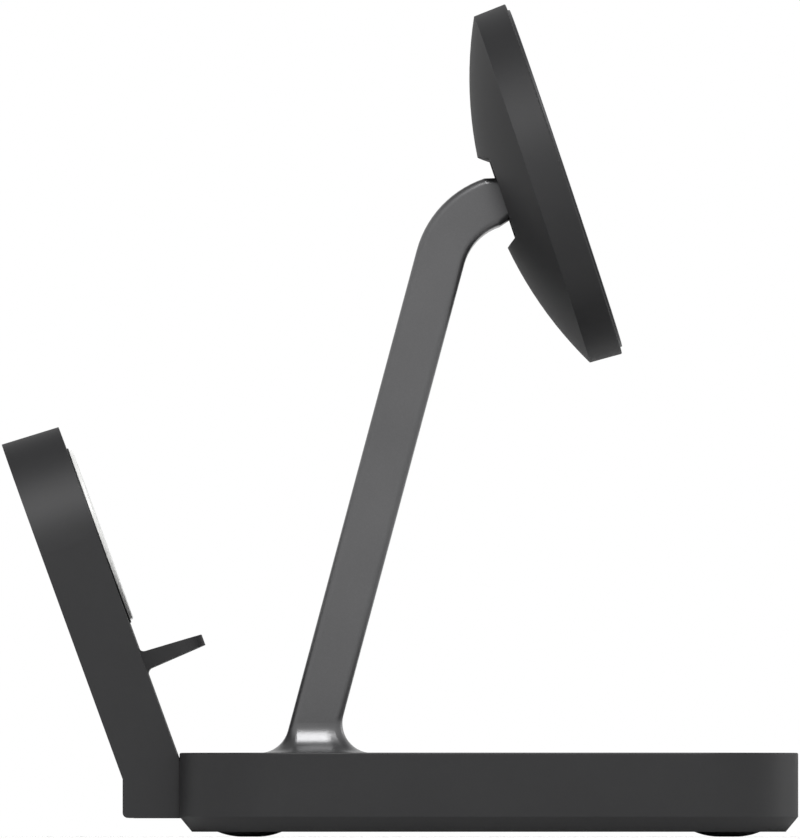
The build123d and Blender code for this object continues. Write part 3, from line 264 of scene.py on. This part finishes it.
def latheMesh(points, centre, axis, steps=192, ring=False):  # turns a profile round a face's axis
    bm = bmesh.new()
    turn = axis.to_track_quat("Z", "Y")
    rings = []
    for across, up in points:
        ringVerts = []
        for i in range(steps if across > 1e-6 else 1):  # a point on the axis is one vertex
            a = 2 * math.pi * i / steps
            spot = Vector((across * math.cos(a), across * math.sin(a), up))
            ringVerts.append(bm.verts.new(centre + turn @ spot / 1000))
        rings.append(ringVerts)
    pairs = list(zip(rings, rings[1:])) + ([(rings[-1], rings[0])] if ring else [])
    for low, high in pairs:
        for i in range(steps):
            j = (i + 1) % steps
            corner = [low[i % len(low)], low[j % len(low)], high[j % len(high)], high[i % len(high)]]
            bm.faces.new(list(dict.fromkeys(corner)))
    bmesh.ops.recalc_face_normals(bm, faces=bm.faces)
    return bm


creaseDegrees = 32  # edges turning more than this stay crisp


def newPiece(name, bm, material, body, slotName, *replaced):
    mesh = bpy.data.meshes.new(name)
    bm.to_mesh(mesh)
    bm.free()
    mesh.polygons.foreach_set("use_smooth", [True] * len(mesh.polygons))
    mesh.set_sharp_from_angle(angle=math.radians(creaseDegrees))
    mesh.materials.append(material)
    piece = bpy.data.objects.new(name, mesh)
    scene.collection.objects.link(piece)
    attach(piece, body)
    if replaced:
        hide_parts(*replaced)
    return piece


# Phone face: a silicone disc with a rounded rim, a fine groove inside it and a field dished by a hair
phoneFacing = {"radius": 27.2, "back": -0.52, "front": 0.38, "rim": 0.15, "grooveAt": 25.3, "grooveWidth": 0.5,
               "grooveDeep": 0.14, "grooveFloor": 0.3, "grooveLip": 0.12, "crisp": 0.05, "dish": 0.06}


def makePhoneFacing(look):
    g, w, top = look["grooveAt"], look["grooveWidth"] / 2, look["front"]
    floor, deep, lip, crisp = look["grooveFloor"], top - look["grooveDeep"], look["grooveLip"], look["crisp"]
    corners = [(0, look["back"], 0), (look["radius"], look["back"], crisp), (look["radius"], top, look["rim"]),
               (g + w, top, lip), (g + floor * w, deep, crisp), (g - floor * w, deep, crisp), (g - w, top, lip)]
    corners += [(r, top - look["dish"] * (1 - (r / g) ** 2), 0) for r in (22, 18, 13, 8, 3.5, 0)]
    centre, axis = faceFrame("phone")
    bm = latheMesh(softProfile(corners), centre, axis)
    newPiece("phoneFacing", bm, silicone, "head", "pad", "phone_pad")


makePhoneFacing(phoneFacing)

# Earbuds rest: the same silicone let into the base's top, dished a little so that a case settles in the middle
earbudsRest = {"radius": 24.85, "back": -1.0, "rim": 0.25, "land": 2.2, "landEdge": 0.9, "crisp": 0.05,
               "dish": 0.35, "slope": ((1.6, 0.72, 1.2), (4.5, 0.93, 0), (9, 0.99, 0))}  # in, share down, rounding


def makeEarbudsRest(look):
    inner = look["radius"] - look["land"]
    corners = [(0, look["back"], 0), (look["radius"], look["back"], look["crisp"]),
               (look["radius"], 0, look["rim"]), (inner, 0, look["landEdge"])]
    corners += [(inner - d, -look["dish"] * s, r) for d, s, r in look["slope"]]
    corners += [(4, -look["dish"], 0), (0, -look["dish"], 0)]
    centre, axis = faceFrame("earbuds")
    bm = latheMesh(softProfile(corners), centre, axis)
    newPiece("earbudsRest", bm, silicone, "stand", "pad", "earbuds_pad")


makeEarbudsRest(earbudsRest)

# Watch puck: a polished disc with a rolled rim round its hollow, in a thin dark ring with softened edges
watchPuck = {"radius": 13.8, "back": -2.0, "proud": 0.8, "rim": 0.3, "land": 0.8, "roll": 1.6, "crisp": 0.1,
             "dish": 0.8}
watchRing = {"inner": 13.9, "outer": 14.2, "back": -1.2, "proud": 0.28, "edge": 0.1}


def makeWatchPuck(look):
    hollow = look["radius"] - look["land"]
    sphere = (hollow ** 2 + look["dish"] ** 2) / (2 * look["dish"])
    corners = [(0, look["back"], 0), (look["radius"], look["back"], look["crisp"]),
               (look["radius"], look["proud"], look["rim"]), (hollow, look["proud"], look["roll"])]
    for r in (11.2, 9.6, 8, 6.4, 4.8, 3.2, 1.6, 0):
        corners.append((r, look["proud"] - look["dish"] + sphere - math.sqrt(sphere ** 2 - r ** 2), 0))
    centre, axis = faceFrame("watch")
    bm = latheMesh(softProfile(corners), centre, axis)
    newPiece("watchPuck", bm, polycarbonate, "stand", "puck", "watch_puck")


def makeWatchRing(look):
    corners = [(look["inner"], look["back"], 0), (look["outer"], look["back"], 0),
               (look["outer"], look["proud"], look["edge"]), (look["inner"], look["proud"], look["edge"])]
    centre, axis = faceFrame("watch")
    bm = latheMesh(softProfile(corners), centre, axis, ring=True)
    newPiece("watchRing", bm, grainedAbs, "stand", "bezel", "watch_bezel")


makeWatchPuck(watchPuck)
makeWatchRing(watchRing)
print("pads, puck and ring turned")

# Supply socket: a drawn shell with a rolled mouth, a dark plastic tongue inside and contacts on its two faces.
# The tongue's nose is given as how far behind its tip, how much narrower and how much thinner.
supplySocket = {"sheet": 0.3, "mouth": 0.13, "mouthSteps": 7, "deep": 6.6, "tongueWide": 6.69, "tongueThick": 0.7,
                "tongueBack": 1.2, "tongueNose": ((0.35, 0, 0), (0.1, 0.3, 0.16), (0, 0.6, 0.4)),
                "tongueEase": 0.12, "contacts": 12, "pitch": 0.5, "contactWide": 0.28, "contactLong": 3.4,
                "contactBack": 0.55, "contactSunk": 0.02, "contactProud": 0.03, "contactTop": 0.8,
                "contactHeel": 0.06, "contactToe": 0.12}


def stadium(wide, high, y, steps=12):  # a round-ended outline across the socket, in millimetres
    r, flat = high / 2, (wide - high) / 2
    outline = []
    for side, start in ((1, -90), (-1, 90)):
        for k in range(steps + 1):
            a = math.radians(start + 180 * k / steps)
            outline.append(Vector((side * flat + r * math.cos(a), y, r * math.sin(a))))
    return outline


def loftRings(bm, outlines, centre, capFirst=False, capLast=False):
    rings = [[bm.verts.new(centre + p / 1000) for p in outline] for outline in outlines]
    for low, high in zip(rings, rings[1:]):
        for i in range(len(low)):
            j = (i + 1) % len(low)
            bm.faces.new((low[i], low[j], high[j], high[i]))
    if capFirst:
        bm.faces.new(rings[0][::-1])
    if capLast:
        bm.faces.new(rings[-1])


def makeSupplySocket(look):
    lo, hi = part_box("usb_c_socket")
    centre = Vector((0, hi.y, (lo.z + hi.z) / 2))
    wide, high, length = (hi.x - lo.x) * 1000, (hi.z - lo.z) * 1000, (hi.y - lo.y) * 1000
    s, m = look["sheet"], look["mouth"]
    bm = bmesh.new()
    outlines = [stadium(wide, high, -length), stadium(wide, high, -m)]
    for k in range(1, look["mouthSteps"]):  # the mouth rolls over from the outside to the inside
        a = math.pi * k / look["mouthSteps"]
        inset = s / 2 - s / 2 * math.cos(a)
        outlines.append(stadium(wide - 2 * inset, high - 2 * inset, -m + m * math.sin(a)))
    outlines += [stadium(wide - 2 * s, high - 2 * s, -m), stadium(wide - 2 * s, high - 2 * s, -look["deep"])]
    loftRings(bm, outlines, centre, capFirst=True, capLast=True)
    bmesh.ops.recalc_face_normals(bm, faces=bm.faces)
    newPiece("supplySocket", bm, tinnedSteel, "stand", "steel", "usb_c_socket")

    tw, tt, tip = look["tongueWide"], look["tongueThick"], look["tongueBack"]
    bm = bmesh.new()
    shapes = [(tw, tt, -look["deep"])]
    shapes += [(tw - narrower, tt - thinner, -tip - back) for back, narrower, thinner in look["tongueNose"]]
    outlines = []
    for w, t, y in shapes:
        c = look["tongueEase"] * t
        outlines.append([Vector((x, y, z)) for x, z in (
            (w / 2 - c, -t / 2), (w / 2, -t / 2 + c), (w / 2, t / 2 - c), (w / 2 - c, t / 2),
            (-w / 2 + c, t / 2), (-w / 2, t / 2 - c), (-w / 2, -t / 2 + c), (-w / 2 + c, -t / 2))])
    loftRings(bm, outlines, centre, capLast=True)
    bmesh.ops.recalc_face_normals(bm, faces=bm.faces)
    newPiece("supplyTongue", bm, innerAbs, "stand", "inner_plastic")

    bm = bmesh.new()
    w, y1 = look["contactWide"] / 2, -tip - look["contactBack"]
    y0 = y1 - look["contactLong"]
    heel, toe, top = y0 + look["contactHeel"], y1 - look["contactToe"], w * look["contactTop"]
    for side in (-1, 1):
        z0 = side * (tt / 2 - look["contactSunk"])
        z1 = side * (tt / 2 + look["contactProud"])
        for k in range(look["contacts"]):
            x = (k - (look["contacts"] - 1) / 2) * look["pitch"]
            lowRing = [Vector((x + sx * w, y, z0)) for sx, y in ((-1, y0), (1, y0), (1, y1), (-1, y1))]
            highRing = [Vector((x + sx * top, y, z1)) for sx, y in ((-1, heel), (1, heel), (1, toe), (-1, toe))]
            loftRings(bm, [lowRing, highRing], centre, capLast=True)
    bmesh.ops.recalc_face_normals(bm, faces=bm.faces)
    newPiece("supplyContacts", bm, gold, "stand", "copper")


makeSupplySocket(supplySocket)
print("supply socket formed")

# Camera: the photograph's straight side view, on a long lens from near the floor
photoView = {"centreY": -0.00012, "centreZ": 0.0639, "frameHeight": 0.1285, "lensMm": 1450, "sensorMm": 36,
             "eyeZ": 0.0005}


def makeCamera(look):
    data = bpy.data.cameras.new("photoCamera")
    data.lens = look["lensMm"]
    data.sensor_width = look["sensorMm"]
    data.clip_start = 0.1
    data.clip_end = 50
    camera = bpy.data.objects.new("photoCamera", data)
    away = look["frameHeight"] * look["lensMm"] / look["sensorMm"]
    camera.location = (-away, look["centreY"], look["eyeZ"])
    aim = Vector((0, look["centreY"], look["centreZ"])) - camera.location
    camera.rotation_mode = "QUATERNION"
    camera.rotation_quaternion = aim.to_track_quat("-Z", "Y")
    scene.collection.objects.link(camera)
    scene.camera = camera


makeCamera(photoView)

# Studio: a soft box high on the photographer's side, a weaker one low in front, white walls and a dark ceiling
studio = {
    "middleZ": 0.06,
    # degrees round from the photographer's side towards the front, elevation, distance, size, watts
    "boxes": [
        ("keyBox", 0, 55, 1.6, (0.36, 1.2), 25),
        ("frontBox", 112, 12, 1.0, (0.45, 0.45), 1.8),
    ],
    "fillGrey": 0.34,
    "wallTop": (0.5, 0.87),  # sines of the elevations where the white walls end and the ceiling begins
    "ceilingGrey": 0.1,
    "floorRadius": 0.6,
    "floorClear": (0.2, 0.42),  # the floor is itself up to the first, and is the white background by the second
    "floorLow": "#f6f6f6",
    "floorHigh": "#fafafa",
    "floorCloudMm": 90,
    "floorRough": 0.5,
}


def seenRays(tree):  # one for rays that show the background: straight, in a reflection or through glass
    path = addNode(tree, "LightPath")
    direct = addNode(tree, "Math", {"operation": "MAXIMUM"},
                     {0: path.outputs["Is Camera Ray"], 1: path.outputs["Is Glossy Ray"]})
    return addNode(tree, "Math", {"operation": "MAXIMUM"},
                   {0: direct.outputs["Value"], 1: path.outputs["Is Transmission Ray"]}).outputs["Value"]


def makeLights(look):
    middle = Vector((0, 0, look["middleZ"]))
    for name, around, up, away, size, watts in look["boxes"]:
        data = bpy.data.lights.new(name, "AREA")
        data.shape = "RECTANGLE"
        data.size, data.size_y = size
        data.energy = watts
        light = bpy.data.objects.new(name, data)
        a, e = math.radians(around), math.radians(up)
        out = Vector((-math.cos(a) * math.cos(e), -math.sin(a) * math.cos(e), math.sin(e)))
        light.location = middle + away * out
        light.rotation_mode = "QUATERNION"
        light.rotation_quaternion = (middle - light.location).to_track_quat("-Z", "Y")
        scene.collection.objects.link(light)
    world = bpy.data.worlds.new("whiteStudio")
    world.use_nodes = True
    tree = world.node_tree
    tree.nodes.clear()
    way = addNode(tree, "TexCoord").outputs["Generated"]
    height = addNode(tree, "SeparateXYZ", links={"Vector": way}).outputs["Z"]
    ceiling = addNode(tree, "MapRange",
                      {"interpolation_type": "SMOOTHSTEP", "From Min": look["wallTop"][0],
                       "From Max": look["wallTop"][1], "To Min": 1.0, "To Max": look["ceilingGrey"]},
                      {"Value": height})
    level = addNode(tree, "MapRange", {"To Min": look["fillGrey"], "To Max": 1.0}, {"Value": seenRays(tree)})
    strength = addNode(tree, "Math", {"operation": "MULTIPLY"},
                       {0: level.outputs["Result"], 1: ceiling.outputs["Result"]})
    back = addNode(tree, "Background", {"Color": (1, 1, 1, 1)}, {"Strength": strength.outputs["Value"]})
    addNode(tree, "OutputWorld", links={"Surface": back.outputs["Background"]})
    scene.world = world


def makeFloor(look):
    material, tree, place = startMaterial("rolled studio paper")  # even and dull, with a faint cloud of fibres
    cloud = addNode(tree, "TexNoise", {"Scale": perMetre(look["floorCloudMm"]), "Detail": 3.0}, {"Vector": place})
    tone = addNode(tree, "ValToRGB", {"stops": [(0.35, look["floorLow"]), (0.65, look["floorHigh"])]},
                   {"Fac": cloud.outputs["Fac"]})
    paper = addNode(tree, "BsdfDiffuse", {"Roughness": look["floorRough"]}, {"Color": tone.outputs["Color"]})
    clear = addNode(tree, "Emission", {"Color": (1, 1, 1, 1), "Strength": 1.0})
    out = addNode(tree, "VectorMath", {"operation": "LENGTH"}, {0: place})
    fade = addNode(tree, "MapRange", {"interpolation_type": "SMOOTHSTEP", "From Min": look["floorClear"][0],
                                      "From Max": look["floorClear"][1]}, {"Value": out.outputs["Value"]})
    share = addNode(tree, "Math", {"operation": "MULTIPLY"}, {0: fade.outputs["Result"], 1: seenRays(tree)})
    mixed = addNode(tree, "MixShader", links={"Fac": share.outputs["Value"], 1: paper.outputs["BSDF"],
                                              2: clear.outputs["Emission"]})
    addNode(tree, "OutputMaterial", links={"Surface": mixed.outputs["Shader"]})
    bm = bmesh.new()
    bmesh.ops.create_circle(bm, cap_ends=True, radius=look["floorRadius"], segments=128)
    mesh = bpy.data.meshes.new("studioFloor")
    bm.to_mesh(mesh)
    bm.free()
    mesh.materials.append(material)
    floor = bpy.data.objects.new("studioFloor", mesh)
    scene.collection.objects.link(floor)


makeLights(studio)
makeFloor(studio)
print("camera, lights and floor set")
